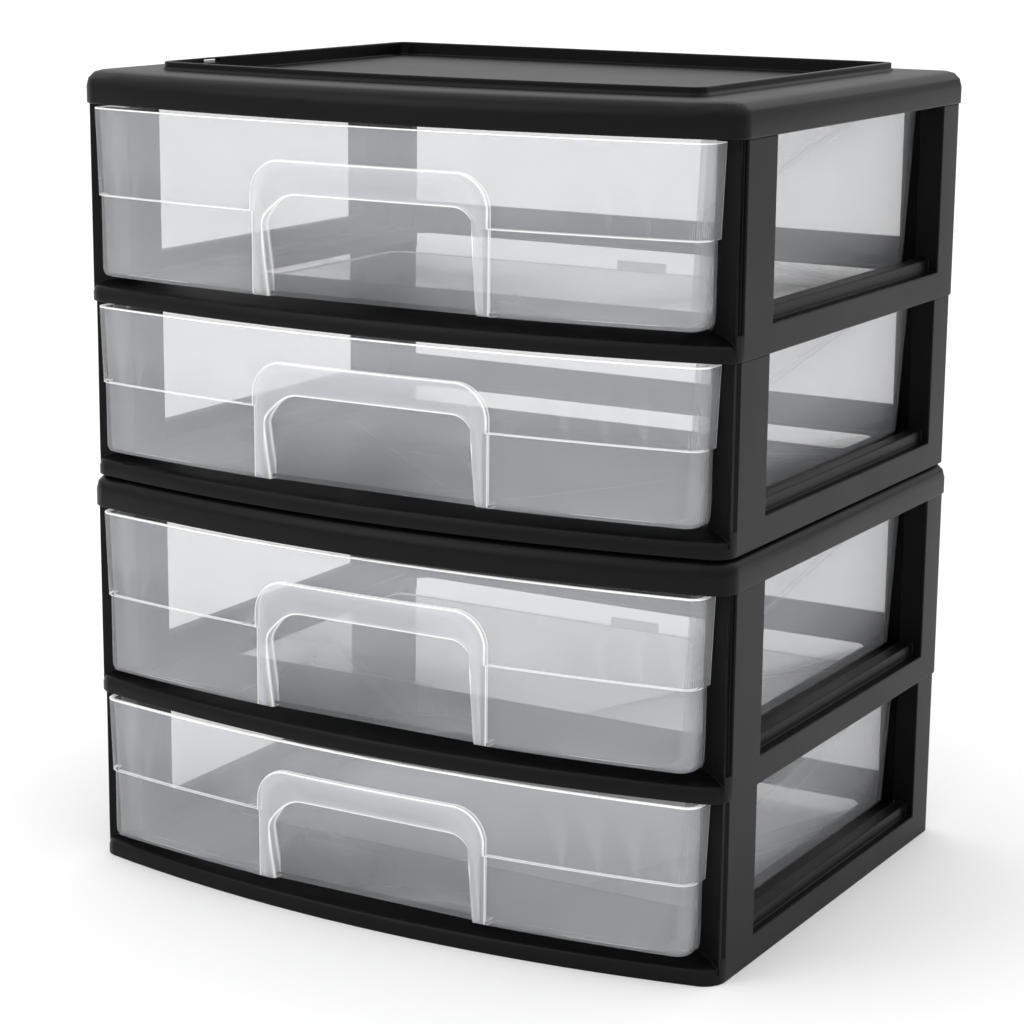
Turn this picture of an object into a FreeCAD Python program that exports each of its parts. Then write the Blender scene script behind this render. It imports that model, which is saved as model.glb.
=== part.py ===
import FreeCAD, Part
import math
import os

# Plastic drawer tower: two equal units stacked, each with a base frame, a
# shelf frame, a lid and two sliding drawers. Millimetres, +Z up, front at -Y,
# origin at the middle of the footprint on the floor.

# Overall plan of the lid, the widest piece
lid_width = 368.0
lid_depth = 293.0
front_bow = 22.0
front_corner_radius = 14.0
back_corner_radius = 9.0

# Heights of one unit
base_tier_height = 90.5
shelf_tier_height = 100.0
lid_height = 16.5

# Moulded walls and general clearances
wall = 2.2
post_wall = 2.6
rib_thickness = 1.6
fit_clearance = 0.3
overrun = 5.0

# How far each frame stands inside the lid's outline, and the line inner walls keep
base_inset = 2.0
shelf_inset = 1.0
inner_line = 1.4

# Front lip and deck of a frame
nose_height = 9.0
nose_round = 4.5
nose_steps = 2
deck_height = 12.5
deck_run = 21.0
rib_depth = 4.8
rib_count = 3

# Open middle of each deck, framed by a front deck, side rails and a rear beam
side_rail_width = 24.2
rear_gap_depth = 8.2
opening_corner_run = 7.0
rear_beam_top = 28.0

# Side walls: a low sill with a raised inner ledge, and open windows
side_wall_thickness = 12.3
sill_height = 14.0
ledge_height = 20.5
ledge_setback = 5.0
front_post_depth = 63.0
rear_post_depth = 28.0
rear_flange_width = 18.0
rear_return_depth = 2.0

# Front posts: an oblique face and a groove at the outer corner
post_corner_setback = 27.0
post_inner_setback = 19.0
post_face_rake = 9.5
groove_width = 4.0
groove_depth = 1.8
groove_offset = 1.0
tongue_height = 5.0

# Stacking ribs under a base, which drop round the tray rim of a lid
stack_clearance = 1.3
stack_rib_thickness = 2.0
stack_rib_front_gap = 19.5
stack_rib_back_gap = 15.5
stack_stub_length = 12.0

# Lid: rounded top edge, raised rim and sunk tray
lid_edge_radius = 8.0
lid_edge_steps = 3
tray_side_margin = 32.0
tray_back_margin = 19.0
tray_front_margin = 35.0
tray_bow = 12.0
tray_corner_radius = 8.0
rim_height = 4.0
rim_width = 3.2
rim_step_width = 1.0
rim_step_height = 0.9
tray_drop = 3.0
drain_slot_length = 13.0
drain_slot_height = 1.9
drain_slot_below_rim = 0.8
drain_slot_setback = 45.5

# Drawer tub and its wider, bowed head
drawer_gap_above = 1.5
drawer_gap_below = 1.5
glide_gap = 0.3
glide_width = 2.4
glide_setback = 13.0
drawer_wall = 2.0
drawer_draft = 3.4
tub_side_clearance = 0.8
rim_flange = 1.3
rim_flange_thickness = 2.0
tub_back_clearance = 1.2
tub_edge_radius = 3.0
tub_corner_radius = 9.0
head_side_setback = 11.4
head_front_setback = 1.2
head_bow = 15.0
head_corner_radius = 8.0
head_wall = 2.4
head_gap = 0.8
head_edge_radius = 3.6
head_edge_steps = 2

# Finger pull in the drawer front, heights as shares of the drawer's height
pull_half_width = 58.0
pull_top_share = 0.733
pull_depth = 8.0
pull_slant = 13.0
pull_taper = 3.0
pull_corner_radius = 13.0
pull_leg_spread = 3.0
band_side = 8.0
band_leg_spread = 0.4
band_top = 4.0
band_height = 0.9
waist_share = 0.485
waist_step = 1.1
waist_band_step = 1.7

# Stops that keep a drawer from running out
drawer_travel = 200.0
stop_tab_half_width = 15.0
stop_tab_height = 5.0
stop_tab_thickness = 2.2
stop_rib_half_width = 24.0
stop_gap = 1.0

# Places that follow from the sizes above
half_width = lid_width / 2
half_depth = lid_depth / 2
window_front = front_post_depth - half_depth
window_back = half_depth - rear_post_depth
post_corner_y = post_corner_setback - half_depth
post_inner_half_gap = half_width - post_inner_setback
sill_inner_x = half_width - inner_line - side_wall_thickness
opening_half_width = sill_inner_x - side_rail_width
opening_back = half_depth - rear_gap_depth
tray_half_width = half_width - tray_side_margin
tray_front = tray_front_margin - half_depth
tray_back = half_depth - tray_back_margin
drain_slot_y = tray_front + drain_slot_setback
glide_offset = post_inner_half_gap - glide_setback
head_half_width = half_width - head_side_setback
head_front = head_front_setback - half_depth


def bow_radius(half_chord, sagitta):
    """Radius of the arc that rises by the sagitta over the chord."""
    return (half_chord ** 2 + sagitta ** 2) / (2 * sagitta)


front_radius = bow_radius(half_width, front_bow)
tray_radius = bow_radius(tray_half_width, tray_bow)
head_radius = bow_radius(head_half_width, head_bow)


def vec(x, y, z=0.0):
    return FreeCAD.Vector(x, y, z)


def bowed_front(half, front, radius, corner, z):
    """Bowed front edge with its two round corners, and the sides' first y."""
    centre_y = front + radius
    corner_x = half - corner
    corner_y = centre_y - math.sqrt((radius - corner) ** 2 - corner_x ** 2)
    length = math.hypot(corner_x, corner_y - centre_y)
    ux, uy = corner_x / length, (corner_y - centre_y) / length
    touch_x, touch_y = ux * radius, centre_y + uy * radius
    mid_length = math.hypot(1 + ux, uy)
    mid_x = corner_x + corner * (1 + ux) / mid_length
    mid_y = corner_y + corner * uy / mid_length
    edges = [
        Part.Arc(vec(-half, corner_y, z), vec(-mid_x, mid_y, z),
                 vec(-touch_x, touch_y, z)).toShape(),
        Part.Arc(vec(-touch_x, touch_y, z), vec(0, front, z),
                 vec(touch_x, touch_y, z)).toShape(),
        Part.Arc(vec(touch_x, touch_y, z), vec(mid_x, mid_y, z),
                 vec(half, corner_y, z)).toShape(),
    ]
    return edges, corner_y


def bowed_wire(half, back, front, radius, corner, back_corner, z):
    """Closed outline: straight back and sides, bowed front, round corners."""
    bow, corner_y = bowed_front(half, front, radius, corner, z)
    diagonal = back_corner * math.sqrt(0.5)
    inner_x = half - back_corner
    inner_y = back - back_corner
    right_mid = vec(inner_x + diagonal, inner_y + diagonal, z)
    left_mid = vec(-inner_x - diagonal, inner_y + diagonal, z)
    edges = [
        Part.makeLine(vec(half, corner_y, z), vec(half, inner_y, z)),
        Part.Arc(vec(half, inner_y, z), right_mid, vec(inner_x, back, z)).toShape(),
        Part.makeLine(vec(inner_x, back, z), vec(-inner_x, back, z)),
        Part.Arc(vec(-inner_x, back, z), left_mid, vec(-half, inner_y, z)).toShape(),
        Part.makeLine(vec(-half, inner_y, z), vec(-half, corner_y, z)),
    ]
    return Part.Wire(edges + bow)


def body_wire(inset, z, front_inset=None):
    """The lid's outline moved inwards; the front may move by its own amount."""
    if front_inset is None:
        front_inset = inset
    corner = max(front_corner_radius - inset, wall)
    back_corner = max(back_corner_radius - inset, wall)
    return bowed_wire(half_width - inset, half_depth - inset, front_inset - half_depth,
                      front_radius - front_inset, corner, back_corner, z)


def tray_wire(inset, z):
    """Outline of the tray rim, moved inwards."""
    corner = max(tray_corner_radius - inset, wall)
    return bowed_wire(tray_half_width - inset, tray_back - inset, tray_front + inset,
                      tray_radius - inset, corner, corner, z)


def prism(wire, height):
    return Part.Face(wire).extrude(vec(0, 0, height))


def loft(wires):
    return Part.makeLoft(wires, True, True)


def block(x0, x1, y0, y1, z0, z1):
    return Part.makeBox(x1 - x0, y1 - y0, z1 - z0, vec(x0, y0, z0))


def slab_between(points, z0, z1):
    """Prism of a plan polygon given by (x, y) points."""
    corners = [vec(x, y, z0) for x, y in points]
    return prism(Part.makePolygon(corners + corners[:1]), z1 - z0)


def rounded_top(inset, top, radius, step_count):
    """Body outline raised to a height, its upper edge rounded in a few even steps."""
    wires = [body_wire(inset, 0)]
    for i in range(step_count + 1):
        turn = math.pi / 2 * i / step_count
        shift = radius * (1 - math.cos(turn))
        wires.append(body_wire(inset + shift, top - radius + radius * math.sin(turn)))
    return loft(wires)


def both_sides(shape):
    """The shape and its mirror image across the middle plane."""
    return shape.fuse(shape.mirror(vec(0, 0), vec(1, 0)))


def edges_where(shape, test):
    return [edge for edge in shape.Edges if test(edge)]


def face_y(x):
    """Y of the front post's oblique face at the given distance from the middle."""
    run = half_width - inner_line - post_inner_half_gap
    return post_corner_y + post_face_rake * (half_width - inner_line - x) / run


# Frame pieces

def front_post(bottom, top):
    """Hollow front post of one side, as a plain prism still to be trimmed."""
    far = half_width + overrun
    outer = slab_between([(post_inner_half_gap, window_front), (far, window_front),
                          (far, face_y(far)), (post_inner_half_gap, face_y(post_inner_half_gap))],
                         bottom, top)
    core_in = post_inner_half_gap + post_wall
    core_out = half_width - inner_line - post_wall - groove_depth
    core_shift = post_wall + groove_depth
    core = slab_between([(core_in, window_front - post_wall), (core_out, window_front - post_wall),
                         (core_out, face_y(core_out) + core_shift),
                         (core_in, face_y(core_in) + core_shift)],
                        bottom - overrun, top + overrun)
    return outer.cut(core)


def rear_post(bottom, top):
    """Hollow rear post with a flange across the back."""
    far = half_width + overrun
    tube = block(sill_inner_x, far, window_back, half_depth + overrun, bottom, top)
    inner_back = half_depth - inner_line - post_wall
    core = block(sill_inner_x + post_wall, half_width - inner_line - post_wall,
                 window_back + post_wall, inner_back, bottom - overrun, top + overrun)
    flange_x = sill_inner_x - rear_flange_width
    flange = block(flange_x, sill_inner_x, inner_back, half_depth + overrun, bottom, top)
    lip = block(flange_x, flange_x + wall, inner_back - rear_return_depth, inner_back, bottom, top)
    return tube.cut(core).fuse([flange, lip])


def post_groove(top):
    """Groove along the outer corner of a front post, cut from the side face."""
    start = post_corner_y + groove_offset
    depth_x = half_width - inner_line - groove_depth
    return block(depth_x, half_width + overrun, start, start + groove_width,
                 deck_height, top + overrun)


def sill(foot_inset):
    """Low side wall with its raised inner ledge, hollow from below."""
    front = window_front - post_wall
    back = half_depth + overrun
    step_x = half_width - inner_line - ledge_setback
    solid = block(sill_inner_x, half_width + overrun, front, back, 0, sill_height)
    solid = solid.fuse(block(sill_inner_x, step_x, front, back, 0, ledge_height))
    inner = (window_front, window_back)
    hollow = block(sill_inner_x + wall, half_width - foot_inset - wall, inner[0], inner[1],
                   -overrun, sill_height - wall)
    hollow = hollow.fuse(block(sill_inner_x + wall, step_x - wall, inner[0], inner[1],
                               -overrun, ledge_height - wall))
    return solid, hollow


def rear_beam():
    """Low beam across the back, between the rear posts, open beneath."""
    inner_back = half_depth - inner_line - post_wall
    return block(-sill_inner_x, sill_inner_x, inner_back, half_depth + overrun,
                 deck_height - wall, rear_beam_top)


def opening_front():
    """Y of the front edge of a deck's open middle, where the stop rib hangs."""
    return tab_y() - drawer_travel - stop_gap - stop_tab_thickness


def deck_opening(low, high):
    """Open middle of a deck, with its corners cut off."""
    hole = block(-opening_half_width, opening_half_width, opening_front(), opening_back, low, high)
    upright = edges_where(hole, lambda e: e.BoundBox.ZLength > (high - low) / 2)
    return hole.makeChamfer(opening_corner_run, upright)


def rear_gap():
    """Space under the rear beam, from post to post."""
    half = sill_inner_x - rear_flange_width
    return block(-half, half, opening_back, half_depth + overrun, -overrun, deck_height - wall)


def rib_row(front, back, low, high):
    """Even ribs that run front to back, still to be trimmed."""
    ribs = []
    for i in range(rib_count):
        x = -opening_half_width + 2 * opening_half_width * (i + 1) / (rib_count + 1)
        ribs.append(block(x - rib_thickness / 2, x + rib_thickness / 2, front, back, low, high))
    return ribs[0].fuse(ribs[1:])


def stop_rib(bottom, top):
    """Rib that the tab of the drawer below runs against at full travel."""
    y = opening_front()
    return block(-stop_rib_half_width, stop_rib_half_width, y - wall, y, bottom, top)


def deck_ribs(low, high):
    """Ribs under the front deck and along the inner edges of the side rails."""
    front = opening_front()
    inner_x = opening_half_width
    outer_x = inner_x + rib_thickness
    edge = block(-outer_x, outer_x, front - rib_thickness, front, low, high)
    rail = block(inner_x, outer_x, front - rib_thickness, opening_back - opening_corner_run,
                 low, high)
    return edge.fuse([rib_row(-half_depth, front, low, high), both_sides(rail)])


def stack_ribs(top):
    """Ribs and stubs that stand just outside the tray rim of the lid below."""
    inner_x = tray_half_width + stack_clearance
    front = tray_front - stack_clearance
    back = tray_back + stack_clearance
    side = block(inner_x, inner_x + stack_rib_thickness, tray_front + stack_rib_front_gap,
                 tray_back - stack_rib_back_gap, 0, top)
    stub = block(opening_half_width, opening_half_width + stack_stub_length,
                 back, back + stack_rib_thickness, 0, top)
    middle = block(-stop_rib_half_width, stop_rib_half_width,
                   front - stack_rib_thickness, front, 0, top)
    return both_sides(side.fuse(stub)).fuse(middle)


def deck_slab(inset):
    """Skirt with a rounded nose, and the deck that rises behind it."""
    slab = rounded_top(inset, nose_height, nose_round, nose_steps)
    side = inset + nose_round
    deck = loft([body_wire(side, nose_height),
                 body_wire(side, deck_height, front_inset=inset + deck_run)])
    return slab.fuse(deck)


def deck_hollow(inset):
    """Space under the deck: shallow behind the nose, deeper behind the ramp."""
    side = inset + nose_round
    low = prism(body_wire(side, -overrun), overrun + nose_height - wall)
    ramp_end = -half_depth + inset + deck_run + front_bow
    high = block(-sill_inner_x, sill_inner_x, ramp_end, half_depth - side,
                 -overrun, deck_height - wall)
    return low.fuse(high)


def frame(height, inset, seat_inset, stacks):
    """One moulded frame: skirt, open deck, sills, posts and top tongues."""
    sill_solid, sill_hollow = sill(inset)
    walls = both_sides(front_post(0, height).fuse([rear_post(0, height), sill_solid]))
    walls = walls.fuse(rear_beam()).common(prism(body_wire(inset, 0), height))
    tubes = both_sides(front_post(height, height + tongue_height)
                       .fuse(rear_post(height, height + tongue_height)))
    seat = prism(body_wire(seat_inset + fit_clearance, height), tongue_height)
    tongues = tubes.common(seat)
    body = deck_slab(inset).fuse(walls)
    body = body.cut(deck_hollow(inset)).cut(both_sides(sill_hollow))
    body = body.cut(both_sides(post_groove(height)))
    rib_top = deck_height - wall
    hole = deck_opening(-overrun, deck_height + overrun)
    body = body.cut(hole).cut(rear_gap())
    body = body.fuse([tongues, deck_ribs(rib_top - rib_depth, rib_top)
                      .common(deck_hollow(inset))])
    if stacks:
        body = body.fuse(stack_ribs(rib_top))
    else:
        body = body.fuse(stop_rib(0, rib_top))
    return body.removeSplitter()


def lid():
    """Lid with a rounded edge, a sunk tray and a raised rim."""
    shell = rounded_top(0, lid_height, lid_edge_radius, lid_edge_steps)
    inner_top = lid_height - wall
    hollow = prism(body_wire(wall, -overrun), overrun + lid_height - lid_edge_radius)
    hollow = hollow.fuse(prism(body_wire(lid_edge_radius - wall, 0), inner_top))
    rim_top = lid_height + rim_height
    floor = lid_height - tray_drop
    low = floor - wall
    drop = block(-tray_half_width, tray_half_width, tray_front, tray_back, low, inner_top)
    step = prism(tray_wire(-rim_step_width, inner_top), wall + rim_step_height)
    tray = prism(tray_wire(0, inner_top), rim_top - inner_top).fuse([drop, step])
    pocket = prism(tray_wire(rim_width, floor), rim_top + overrun - floor)
    body = shell.cut(hollow).fuse(tray).cut(pocket)
    slot_top = rim_top - drain_slot_below_rim
    slot = block(-tray_half_width - overrun, -tray_half_width + rim_width + overrun,
                 drain_slot_y, drain_slot_y + drain_slot_length,
                 slot_top - drain_slot_height, slot_top)
    ribs = rib_row(-half_depth, half_depth, low - rib_depth, inner_top).common(hollow)
    body = body.cut(slot).fuse([ribs.cut(pocket), stop_rib(0, low)])
    return body.removeSplitter()


# Drawer pieces

def tab_y():
    """Back face of a drawer's stop tab when the drawer is shut."""
    return tub_back()


def tub_back():
    return half_depth - inner_line - post_wall - rear_return_depth - tub_back_clearance


def tub_wire(inset, z, spread):
    """Rounded rectangle of the tub; the spread is the draft gained so far."""
    half = post_inner_half_gap - tub_side_clearance - rim_flange - drawer_draft + spread - inset
    front = head_back() - overrun
    back = tub_back() - rim_flange - drawer_draft + spread - inset
    corner = tub_corner_radius - inset
    diagonal = corner * math.sqrt(0.5)
    ix = half - corner
    iy = back - corner
    edges = [
        Part.makeLine(vec(-half, front, z), vec(half, front, z)),
        Part.makeLine(vec(half, front, z), vec(half, iy, z)),
        Part.Arc(vec(half, iy, z), vec(ix + diagonal, iy + diagonal, z),
                 vec(ix, back, z)).toShape(),
        Part.makeLine(vec(ix, back, z), vec(-ix, back, z)),
        Part.Arc(vec(-ix, back, z), vec(-ix - diagonal, iy + diagonal, z),
                 vec(-half, iy, z)).toShape(),
        Part.makeLine(vec(-half, iy, z), vec(-half, front, z)),
    ]
    return Part.Wire(edges)


def head_back():
    return face_y(head_half_width) - head_gap


def head_wire(inset, z, spread):
    """Outline of the wide head; its front does not lean, its sides do."""
    half = head_half_width - drawer_draft + spread - inset
    back = head_back() - max(inset, 0)
    bow, corner_y = bowed_front(half, head_front + inset, head_radius - inset,
                                head_corner_radius - inset, z)
    edges = [
        Part.makeLine(vec(half, corner_y, z), vec(half, back, z)),
        Part.makeLine(vec(half, back, z), vec(-half, back, z)),
        Part.makeLine(vec(-half, back, z), vec(-half, corner_y, z)),
    ]
    return Part.Wire(edges + bow)


def arch_wire(half_top, half_foot, top, corner, y, foot):
    """Upright arch: legs that spread downwards, rounded shoulders, open foot."""
    lean = (half_foot - half_top) / (top - corner)
    foot_half = half_top + lean * (top - corner - foot)
    diagonal = corner * math.sqrt(0.5)
    ix = half_top - corner
    iz = top - corner
    edges = [
        Part.makeLine(vec(-foot_half, y, foot), vec(foot_half, y, foot)),
        Part.makeLine(vec(foot_half, y, foot), vec(half_top, y, iz)),
        Part.Arc(vec(half_top, y, iz), vec(ix + diagonal, y, iz + diagonal),
                 vec(ix, y, top)).toShape(),
        Part.makeLine(vec(ix, y, top), vec(-ix, y, top)),
        Part.Arc(vec(-ix, y, top), vec(-ix - diagonal, y, iz + diagonal),
                 vec(-half_top, y, iz)).toShape(),
        Part.makeLine(vec(-half_top, y, iz), vec(-foot_half, y, foot)),
    ]
    return Part.Wire(edges)


def front_cylinder(offset, low, high):
    """Upright cylinder concentric with the head's bow, standing off inwards."""
    radius = head_radius - offset
    return Part.makeCylinder(radius, high - low, vec(0, head_front + head_radius, low))


def pull_recess(height, grow):
    """Finger recess with a slanted top; grow widens it for the inner skin."""
    top = pull_top_share * height + grow
    deep_y = head_front + pull_depth + grow
    front_y = head_front - overrun
    reach = pull_depth + overrun + grow
    slope = pull_slant / pull_depth
    taper = pull_taper / pull_depth
    open_top = top + slope * overrun
    open_half = pull_half_width + grow + taper * overrun
    deep_top = open_top - slope * reach
    deep_half = open_half - taper * reach
    foot = -overrun
    outer = arch_wire(open_half, open_half + pull_leg_spread, open_top,
                      pull_corner_radius, front_y, foot)
    inner = arch_wire(deep_half, deep_half + pull_leg_spread, deep_top,
                      pull_corner_radius, deep_y, foot)
    wedge = loft([outer, inner])
    return wedge.cut(front_cylinder(pull_depth + grow, foot - overrun, height + overrun))


def rounded_loft(outline, inset, radius, height, step_count):
    """Drafted solid whose lower edge is rounded in a few even steps."""
    wires = []
    for i in range(step_count + 1):
        turn = math.pi / 2 * i / step_count
        z = radius * (1 - math.cos(turn))
        wires.append(outline(inset + radius * (1 - math.sin(turn)), z, drawer_draft * z / height))
    wires.append(outline(inset, height, drawer_draft))
    return loft(wires)


def rounded_head(inset, height):
    """The head as a solid with its rounded lower edge, moved inwards or outwards."""
    return rounded_loft(head_wire, inset, head_edge_radius - inset, height, head_edge_steps)


def waist_cut(height):
    """What the lower field loses outside the band, from the waist line down."""
    top = waist_share * height
    reach = head_half_width + overrun
    inner = pull_half_width + band_side - waist_band_step
    side = block(inner, reach, head_front - overrun, head_back(), -overrun, top)
    core = prism(head_wire(waist_step, -overrun, drawer_draft * waist_share), top + 2 * overrun)
    return both_sides(side).cut(core)


def pull_band(height):
    """Raised band that frames the arch of the pull."""
    top = pull_top_share * height
    half = pull_half_width + band_side
    outer = arch_wire(half, half + band_leg_spread, top + band_top,
                      pull_corner_radius + band_top, head_front - overrun, 0)
    plate = Part.Face(outer).extrude(vec(0, head_bow + overrun, 0))
    foot = block(half - waist_band_step, half + overrun, head_front - overrun, head_back(),
                 -overrun, waist_share * height)
    plate = plate.cut(both_sides(foot))
    skin = rounded_head(-band_height, height).cut(front_cylinder(head_wall / 2, -overrun, height))
    return plate.common(skin)


def drawer(height):
    """One moulded drawer, its underside at z = 0."""
    tub = rounded_loft(tub_wire, 0, tub_edge_radius, height, 1)
    head = rounded_head(0, height).cut(waist_cut(height))
    flange = prism(tub_wire(-rim_flange, height - rim_flange_thickness, drawer_draft),
                   rim_flange_thickness)
    outer = tub.fuse([head, flange, pull_band(height)])
    top = height + overrun
    extra = drawer_draft * overrun / height
    room = loft([tub_wire(drawer_wall, drawer_wall, 0),
                 tub_wire(drawer_wall, top, drawer_draft + extra)])
    head_room = loft([head_wire(head_wall, drawer_wall, 0),
                      head_wire(head_wall, top, drawer_draft + extra)])
    room = room.fuse(head_room).cut(pull_recess(height, head_wall))
    body = outer.cut(room).cut(pull_recess(height, 0))
    tab = block(-stop_tab_half_width, stop_tab_half_width, tab_y() - stop_tab_thickness,
                tab_y(), height - rim_flange_thickness, height + stop_tab_height)
    glide = block(glide_offset - glide_width / 2, glide_offset + glide_width / 2,
                  head_back(), tub_back() - tub_corner_radius,
                  glide_gap - drawer_gap_below, tub_edge_radius / 2)
    glides = both_sides(glide)
    body = body.fuse([tab, glides.cut(room)])
    return body.removeSplitter()


# Stack the pieces and write them out

def placed(shape, z):
    copy = shape.copy()
    copy.translate(vec(0, 0, z))
    return copy


def build():
    base = frame(base_tier_height, base_inset, shelf_inset + nose_round, True)
    shelf = frame(shelf_tier_height, shelf_inset, wall, False)
    cover = lid()
    seat = deck_height + drawer_gap_below
    low_drawer = drawer(base_tier_height - seat - drawer_gap_above)
    high_drawer = drawer(shelf_tier_height - seat - drawer_gap_above)
    unit_height = base_tier_height + shelf_tier_height + lid_height
    nodes = {}
    for i, unit in enumerate(("lower", "upper")):
        z = i * unit_height
        shelf_z = z + base_tier_height
        nodes[unit + "_base_frame"] = placed(base, z)
        nodes[unit + "_shelf_frame"] = placed(shelf, shelf_z)
        nodes[unit + "_lid"] = placed(cover, shelf_z + shelf_tier_height)
        nodes[unit + "_base_drawer"] = placed(low_drawer, z + seat)
        nodes[unit + "_shelf_drawer"] = placed(high_drawer, shelf_z + seat)
    return nodes


os.makedirs("parts", exist_ok=True)
for name, shape in build().items():
    shape.exportStep("parts/" + name + ".step")
    print(name, "solids", len(shape.Solids), "valid", shape.isValid(),
          "faces", len(shape.Faces), "volume", round(shape.Volume))
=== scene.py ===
import math

import bmesh
import bpy
import numpy as np
from mathutils import Matrix, Vector


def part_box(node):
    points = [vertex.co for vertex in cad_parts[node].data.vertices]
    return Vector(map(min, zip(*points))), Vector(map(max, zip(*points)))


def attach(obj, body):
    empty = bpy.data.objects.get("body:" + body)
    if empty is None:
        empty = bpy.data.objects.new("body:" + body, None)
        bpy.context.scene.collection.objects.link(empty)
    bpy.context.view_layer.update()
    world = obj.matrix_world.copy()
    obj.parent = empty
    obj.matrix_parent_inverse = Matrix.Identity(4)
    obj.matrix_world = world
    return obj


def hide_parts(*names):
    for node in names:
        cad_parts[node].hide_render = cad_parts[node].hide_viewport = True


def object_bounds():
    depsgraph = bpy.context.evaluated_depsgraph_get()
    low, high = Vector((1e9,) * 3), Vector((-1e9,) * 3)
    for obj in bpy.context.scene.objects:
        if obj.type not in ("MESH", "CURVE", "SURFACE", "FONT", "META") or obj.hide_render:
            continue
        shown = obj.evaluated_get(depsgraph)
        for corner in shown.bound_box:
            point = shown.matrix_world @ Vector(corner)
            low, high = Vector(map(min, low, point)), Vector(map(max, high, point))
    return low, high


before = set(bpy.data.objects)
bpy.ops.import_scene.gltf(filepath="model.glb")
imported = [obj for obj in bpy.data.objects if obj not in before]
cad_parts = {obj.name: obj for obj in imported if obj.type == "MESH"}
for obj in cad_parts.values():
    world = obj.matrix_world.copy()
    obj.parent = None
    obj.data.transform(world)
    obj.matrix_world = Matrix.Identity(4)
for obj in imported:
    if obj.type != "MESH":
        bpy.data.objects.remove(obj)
cad_low, cad_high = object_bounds()

# The camera, worked out from the straight edges of the tower in the photograph
image_size = 1024
focal_pixels = 2764.29
sensor_width_mm = 36.0
camera_pitch = math.radians(12.81)
camera_yaw = math.radians(30.02)
camera_roll = math.radians(0.49)
camera_place = Vector((0.70698, -1.22771, 0.50672))
clip_near = 0.02
clip_far = 60.0

# Colours and shine of the two plastics, with the colours of their painted edge highlights
BLACK = (0.0022, 0.0022, 0.0025, 1.0)
BLACK_PAINTED_EDGE_HIGHLIGHT = (0.016, 0.016, 0.017, 1.0)
MILKY = (0.72, 0.735, 0.765, 1.0)
# painted highlight colour of the drawers' edges and lines, also the colour of their painted glow
MILKY_PAINTED_HIGHLIGHT = (0.92, 0.92, 0.91, 1.0)
frame_roughness = (0.34, 0.46)
lid_roughness = (0.30, 0.40)
drawer_roughness = (0.16, 0.26)
black_specular_level = 0.15
plastic_ior = 1.49
# strength of the painted glow along the drawers' edges and lines, though no lamp is there
painted_highlight_glow_strength = 0.38

# Masks along moulded edges: radius of the rounded normal and how fast the mask rises
black_edge = {"Radius": 0.0009, "Strength": 2.2}
drawer_edge = {"Radius": 0.0012, "Strength": 5.0}
edge_mask_samples = 8
edge_noise_floor = 0.06

# Tool grain and flow clouds of a moulding
black_grain = {"Grain Scale": 1100.0, "Cloud Scale": 11.0}
drawer_grain = {"Grain Scale": 700.0, "Cloud Scale": 14.0}
grain_noise = {"Detail": 2.0, "Roughness": 0.6}
cloud_noise = {"Detail": 3.0, "Roughness": 0.55, "Distortion": 0.6}
grain_bump = {"Strength": 0.06, "Distance": 0.0002}

# Haze of one drawer wall surface, and where it is denser: on the finger pull's band and
# roof, along bright lines and edges, and where the wall is seen slanted
wall_haze = (0.22, 0.235)
pull_haze = 0.52
line_haze = 0.85
slanted_haze = 0.65
slant_blend = 0.16
see_through_surfaces = 40

# Welding of the finished copies and the rounding of the black ones' moulded edges
weld_distance = 0.00012
sharp_angle = math.radians(33.0)
frame_edge_round = 0.0005
edge_round_segments = 2

# Places of the pull's dense band and of the bright lines on a drawer
band_half_width = 0.066
band_top_share = 0.733
band_rise = 0.004
band_corner = 0.017
opening_half_width = 0.0588
opening_drop = 0.0125
opening_corner = 0.015
pull_front_y = -0.1335
waist_share = 0.485
rim_line_height = 0.0005
line_half_width = 0.0008
head_back_y = -0.1225
drawer_tab_height = 0.005
drawer_glide_depth = 0.0012

# Studio
WHITE = (1.0, 1.0, 1.0, 1.0)
DARK = (0.0, 0.0, 0.0, 1.0)
FLOOR = (0.93, 0.93, 0.93, 1.0)
floor_roughness = 0.9
floor_half_size = 14.0
surround_strength = (0.50, 1.60)
lamp_place = Vector((-1.2, -1.9, 1.5))
lamp_size = 1.4
lamp_power = 9.0

# Sockets of a Mix node that mixes colours
mix_mask, mix_first, mix_second, mixed = 0, 6, 7, 2


def set_inputs(node, values):
    """Sets a node's inputs by name."""
    for name, value in values.items():
        node.inputs[name].default_value = value
    return node


def new_node(tree, kind, values):
    """Adds a node and sets its plain inputs."""
    return set_inputs(tree.nodes.new(kind), values)


def new_group(name, inputs, outputs):
    """An empty shader group with number inputs and outputs of the given kinds."""
    tree = bpy.data.node_groups.new(name, "ShaderNodeTree")
    for label in inputs:
        tree.interface.new_socket(label, in_out="INPUT", socket_type="NodeSocketFloat")
    for label, kind in outputs.items():
        tree.interface.new_socket(label, in_out="OUTPUT", socket_type=kind)
    return tree, tree.nodes.new("NodeGroupInput"), tree.nodes.new("NodeGroupOutput")


def place_group(tree, group, values):
    """Adds a group to a material and sets its inputs."""
    node = tree.nodes.new("ShaderNodeGroup")
    node.node_tree = group
    return set_inputs(node, values)


def math_node(tree, operation, *values, clamp=False):
    """Result of a Math node whose inputs are links or plain numbers."""
    node = tree.nodes.new("ShaderNodeMath")
    node.operation = operation
    node.use_clamp = clamp
    for socket, value in zip(node.inputs, values):
        if isinstance(value, (int, float)):
            socket.default_value = value
        else:
            tree.links.new(value, socket)
    return node.outputs[0]


def mix_colour(tree, mask, first, second):
    """Colour that goes from the first to the second as the mask rises."""
    node = tree.nodes.new("ShaderNodeMix")
    node.data_type = "RGBA"
    node.inputs[mix_first].default_value = first
    node.inputs[mix_second].default_value = second
    tree.links.new(mask, node.inputs[mix_mask])
    return node.outputs[mixed]


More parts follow.
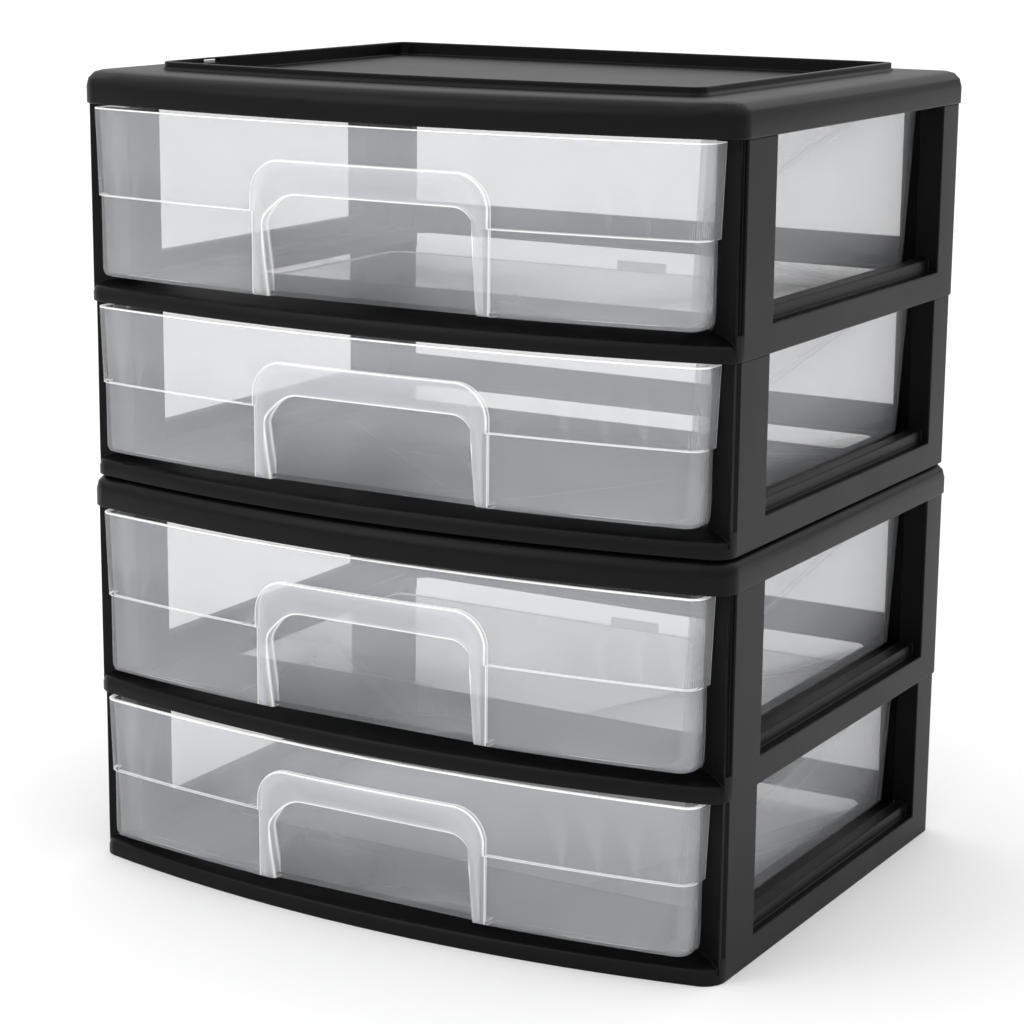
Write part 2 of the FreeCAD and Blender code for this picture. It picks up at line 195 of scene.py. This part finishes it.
def map_range(tree, value, low, high):
    """Spreads a value from 0 to 1 over another range."""
    node = new_node(tree, "ShaderNodeMapRange", {"To Min": low, "To Max": high})
    tree.links.new(value, node.inputs["Value"])
    return node.outputs[0]


def edge_mask_group():
    """Mask along the moulded edges: how far a rounded normal leans from the flat one."""
    tree, given, out = new_group("moulded_edge", ("Radius", "Strength"),
                                 {"Mask": "NodeSocketFloat", "Normal": "NodeSocketVector"})
    bevel = tree.nodes.new("ShaderNodeBevel")
    bevel.samples = edge_mask_samples
    flat = tree.nodes.new("ShaderNodeNewGeometry")
    dot = tree.nodes.new("ShaderNodeVectorMath")
    dot.operation = "DOT_PRODUCT"
    tree.links.new(given.outputs["Radius"], bevel.inputs["Radius"])
    tree.links.new(bevel.outputs[0], dot.inputs[0])
    tree.links.new(flat.outputs["Normal"], dot.inputs[1])
    lean = math_node(tree, "SUBTRACT", 1.0 - edge_noise_floor, dot.outputs["Value"], clamp=True)
    mask = math_node(tree, "MULTIPLY", lean, given.outputs["Strength"], clamp=True)
    tree.links.new(mask, out.inputs["Mask"])
    tree.links.new(bevel.outputs[0], out.inputs["Normal"])
    return tree


def moulded_grain_group():
    """Fine tool grain and faint flow clouds of an injection moulding."""
    tree, given, out = new_group("moulded_grain", ("Grain Scale", "Cloud Scale"),
                                 {"Grain": "NodeSocketFloat", "Cloud": "NodeSocketFloat"})
    place = tree.nodes.new("ShaderNodeTexCoord")
    for label, noise in (("Grain", grain_noise), ("Cloud", cloud_noise)):
        texture = new_node(tree, "ShaderNodeTexNoise", noise)
        tree.links.new(place.outputs["Object"], texture.inputs["Vector"])
        tree.links.new(given.outputs[label + " Scale"], texture.inputs["Scale"])
        tree.links.new(texture.outputs["Fac"], out.inputs[label])
    return tree


def arch_distance(tree, across, height, half_width, top, corner):
    """Signed distance to an arch: a box with round upper corners, open downwards.

    With q = (|x| - half + r, z - top + r) it is |max(q, 0)| + min(max(qx, qz), 0) - r.
    """
    qx = math_node(tree, "SUBTRACT", across, half_width - corner)
    qz = math_node(tree, "SUBTRACT", height, math_node(tree, "SUBTRACT", top, corner))
    px = math_node(tree, "MAXIMUM", qx, 0.0)
    pz = math_node(tree, "MAXIMUM", qz, 0.0)
    squares = math_node(tree, "ADD", math_node(tree, "MULTIPLY", px, px),
                        math_node(tree, "MULTIPLY", pz, pz))
    inside = math_node(tree, "MINIMUM", math_node(tree, "MAXIMUM", qx, qz), 0.0)
    outside = math_node(tree, "SQRT", squares)
    return math_node(tree, "SUBTRACT", math_node(tree, "ADD", outside, inside), corner)


def line_mask(tree, distance):
    """Soft line where a distance is zero: 1 - |distance| / half width, not below 0."""
    spread = math_node(tree, "DIVIDE", math_node(tree, "ABSOLUTE", distance), line_half_width)
    return math_node(tree, "SUBTRACT", 1.0, spread, clamp=True)


def pull_band_group():
    """Masks of a drawer's pull and of the lines that get a painted highlight.

    The dense band and roof lie inside the outer arch and outside the inner one. The lines
    are the arches' outlines, the waist step beside them and the rim of the walls.
    """
    tree, given, out = new_group("pull_band", ("Low", "Height"),
                                 {"Mask": "NodeSocketFloat", "Line": "NodeSocketFloat"})
    place = tree.nodes.new("ShaderNodeTexCoord")
    split = tree.nodes.new("ShaderNodeSeparateXYZ")
    tree.links.new(place.outputs["Object"], split.inputs[0])
    across = math_node(tree, "ABSOLUTE", split.outputs["X"])
    height = math_node(tree, "SUBTRACT", split.outputs["Z"], given.outputs["Low"])
    full_height = given.outputs["Height"]
    top = math_node(tree, "MULTIPLY", full_height, band_top_share)
    outer_top = math_node(tree, "ADD", top, band_rise)
    inner_top = math_node(tree, "SUBTRACT", top, opening_drop)
    outer = arch_distance(tree, across, height, band_half_width, outer_top, band_corner)
    inner = arch_distance(tree, across, height, opening_half_width, inner_top, opening_corner)

    front = math_node(tree, "LESS_THAN", split.outputs["Y"], pull_front_y)
    ring = math_node(tree, "MULTIPLY", math_node(tree, "LESS_THAN", outer, 0.0),
                     math_node(tree, "GREATER_THAN", inner, 0.0))
    tree.links.new(math_node(tree, "MULTIPLY", ring, front), out.inputs["Mask"])

    outlines = math_node(tree, "MAXIMUM", line_mask(tree, outer), line_mask(tree, inner))
    outlines = math_node(tree, "MULTIPLY", outlines, front)
    waist_height = math_node(tree, "MULTIPLY", full_height, waist_share)
    waist = line_mask(tree, math_node(tree, "SUBTRACT", height, waist_height))
    head = math_node(tree, "LESS_THAN", split.outputs["Y"], head_back_y)
    beside = math_node(tree, "GREATER_THAN", across, band_half_width)
    waist = math_node(tree, "MULTIPLY", waist, math_node(tree, "MULTIPLY", head, beside))
    rim_foot = math_node(tree, "SUBTRACT", full_height, rim_line_height)
    rim = math_node(tree, "GREATER_THAN", height, rim_foot)
    lines = math_node(tree, "MAXIMUM", outlines, math_node(tree, "MAXIMUM", waist, rim))
    tree.links.new(lines, out.inputs["Line"])
    return tree


def new_material(name):
    """A material with its node tree and its shader."""
    material = bpy.data.materials.new(name)
    material.use_nodes = True
    tree = material.node_tree
    return material, tree, tree.nodes["Principled BSDF"]


def black_plastic(name, roughness, groups):
    """Satin black moulding: fine grain, cloudy gloss and a painted highlight that makes its edges
    paler.
    """
    material, tree, shader = new_material(name)
    edge = place_group(tree, groups["edge"], black_edge)
    grain = place_group(tree, groups["grain"], black_grain)
    # painted highlight: a paler black along the moulded edges, where light would catch them
    colour = mix_colour(tree, edge.outputs["Mask"], BLACK, BLACK_PAINTED_EDGE_HIGHLIGHT)
    rough = map_range(tree, grain.outputs["Cloud"], *roughness)
    bump = new_node(tree, "ShaderNodeBump", grain_bump)
    tree.links.new(grain.outputs["Grain"], bump.inputs["Height"])
    tree.links.new(edge.outputs["Normal"], bump.inputs["Normal"])
    tree.links.new(colour, shader.inputs["Base Color"])
    tree.links.new(rough, shader.inputs["Roughness"])
    tree.links.new(bump.outputs["Normal"], shader.inputs["Normal"])
    set_inputs(shader, {"IOR": plastic_ior, "Specular IOR Level": black_specular_level})
    return material


def frosted_plastic(name, low, height, groups):
    """Clear, slightly hazy moulding that is denser at the pull, with painted highlights along its
    edges and lines: a paler colour and a glow.
    """
    material, tree, shader = new_material(name)
    edge = place_group(tree, groups["edge"], drawer_edge)
    grain = place_group(tree, groups["grain"], drawer_grain)
    pull = place_group(tree, groups["pull"], {"Low": low, "Height": height})
    bright = math_node(tree, "MAXIMUM", edge.outputs["Mask"], pull.outputs["Line"])
    slant = new_node(tree, "ShaderNodeLayerWeight", {"Blend": slant_blend})
    alpha = map_range(tree, grain.outputs["Cloud"], *wall_haze)
    for mask, haze in ((bright, line_haze), (pull.outputs["Mask"], pull_haze),
                       (slant.outputs["Facing"], slanted_haze)):
        denser = math_node(tree, "MULTIPLY", mask, haze)
        alpha = math_node(tree, "MAXIMUM", alpha, denser)
    # painted highlight: edges and lines get a paler milky colour and a glow, as if lit
    colour = mix_colour(tree, bright, MILKY, MILKY_PAINTED_HIGHLIGHT)
    glow = mix_colour(tree, bright, DARK, MILKY_PAINTED_HIGHLIGHT)
    rough = map_range(tree, grain.outputs["Cloud"], *drawer_roughness)
    tree.links.new(colour, shader.inputs["Base Color"])
    tree.links.new(rough, shader.inputs["Roughness"])
    tree.links.new(alpha, shader.inputs["Alpha"])
    tree.links.new(glow, shader.inputs["Emission Color"])
    tree.links.new(edge.outputs["Normal"], shader.inputs["Normal"])
    set_inputs(shader, {"Emission Strength": painted_highlight_glow_strength, "IOR": plastic_ior})
    return material


def welded_mesh(node_name, material):
    """Merged copy of a CAD node's mesh, smooth except at its moulded edges."""
    mesh = bpy.data.meshes.new(node_name + "_moulding")
    work = bmesh.new()
    work.from_mesh(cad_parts[node_name].data)
    bmesh.ops.remove_doubles(work, verts=work.verts, dist=weld_distance)
    work.to_mesh(mesh)
    work.free()
    mesh.materials.clear()
    mesh.materials.append(material)
    mesh.polygons.foreach_set("use_smooth", np.ones(len(mesh.polygons), dtype=bool))
    mesh.set_sharp_from_angle(angle=sharp_angle)
    return mesh


def place_moulding(node_name, material, body):
    """Puts a finished copy in the scene in place of its CAD node."""
    mesh = welded_mesh(node_name, material)
    piece = bpy.data.objects.new(node_name + "_moulding", mesh)
    bpy.context.scene.collection.objects.link(piece)
    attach(piece, body)
    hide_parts(node_name)
    return piece


def black_moulding(node_name, material):
    """Frame or lid whose every edge gets a small real rounding, its faces kept flat."""
    piece = place_moulding(node_name, material, "tower")
    bevel = piece.modifiers.new("edge_round", "BEVEL")
    bevel.width = frame_edge_round
    bevel.segments = edge_round_segments
    bevel.limit_method = "ANGLE"
    bevel.angle_limit = sharp_angle
    bevel.use_clamp_overlap = False
    normals = piece.modifiers.new("flat_faces", "WEIGHTED_NORMAL")
    normals.mode = "FACE_AREA"
    normals.keep_sharp = True


def frosted_moulding(node_name, groups):
    """Drawer with smooth bows and crisp edges, its lines placed from its own height."""
    low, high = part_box(node_name)
    base = low[2] + drawer_glide_depth
    height = high[2] - drawer_tab_height - base
    material = frosted_plastic(node_name + "_frosted_plastic", base, height, groups)
    place_moulding(node_name, material, node_name)


def build_floor():
    """Wide pale floor at the foot of the tower."""
    half, foot = floor_half_size, cad_low.z
    corners = [(-half, -half, foot), (half, -half, foot), (half, half, foot), (-half, half, foot)]
    mesh = bpy.data.meshes.new("floor")
    mesh.from_pydata(corners, [], [(0, 1, 2, 3)])
    floor = bpy.data.objects.new("floor", mesh)
    bpy.context.scene.collection.objects.link(floor)
    material, _, shader = new_material("floor_paper")
    set_inputs(shader, {"Base Color": FLOOR, "Roughness": floor_roughness})
    mesh.materials.append(material)


def build_surround():
    """White surround that brightens from the horizon up to the zenith."""
    world = bpy.data.worlds.new("studio")
    bpy.context.scene.world = world
    world.use_nodes = True
    tree = world.node_tree
    background = set_inputs(tree.nodes["Background"], {"Color": WHITE})
    sky = tree.nodes.new("ShaderNodeTexCoord")
    split = tree.nodes.new("ShaderNodeSeparateXYZ")
    tree.links.new(sky.outputs["Generated"], split.inputs[0])
    strength = map_range(tree, split.outputs["Z"], *surround_strength)
    tree.links.new(strength, background.inputs["Strength"])


def build_lamp(target):
    """Square soft lamp, high at the front left, aimed at a point."""
    data = bpy.data.lights.new("key_lamp", "AREA")
    data.shape = "SQUARE"
    data.size = lamp_size
    data.energy = lamp_power
    lamp = bpy.data.objects.new("key_lamp", data)
    lamp.location = lamp_place
    lamp.rotation_euler = (target - lamp_place).to_track_quat("-Z", "Y").to_euler()
    bpy.context.scene.collection.objects.link(lamp)


def build_camera():
    """Camera from its pitch below the horizon, its yaw round the tower and its small roll."""
    back = Vector((math.sin(camera_yaw) * math.cos(camera_pitch),
                   -math.cos(camera_yaw) * math.cos(camera_pitch), math.sin(camera_pitch)))
    right = (-back).cross(Vector((0, 0, 1))).normalized()
    up = back.cross(right)
    rolled_right = right * math.cos(camera_roll) + up * math.sin(camera_roll)
    rolled_up = up * math.cos(camera_roll) - right * math.sin(camera_roll)
    turn = Matrix((rolled_right, rolled_up, back)).transposed().to_4x4()
    turn.translation = camera_place
    data = bpy.data.cameras.new("camera")
    data.sensor_width = sensor_width_mm
    data.lens = focal_pixels / image_size * sensor_width_mm
    data.clip_start = clip_near
    data.clip_end = clip_far
    camera = bpy.data.objects.new("camera", data)
    camera.matrix_world = turn
    bpy.context.scene.collection.objects.link(camera)
    bpy.context.scene.camera = camera


groups = {"edge": edge_mask_group(), "grain": moulded_grain_group(), "pull": pull_band_group()}
frame_black = black_plastic("frame_black_plastic", frame_roughness, groups)
lid_black = black_plastic("lid_black_plastic", lid_roughness, groups)
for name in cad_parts:
    if name.endswith("_drawer"):
        frosted_moulding(name, groups)
    elif name.endswith("_lid"):
        black_moulding(name, lid_black)
    else:
        black_moulding(name, frame_black)

build_floor()
build_surround()
build_lamp((cad_low + cad_high) / 2)
build_camera()
bpy.context.scene.view_settings.view_transform = "Standard"
bpy.context.scene.cycles.transparent_max_bounces = see_through_surfaces
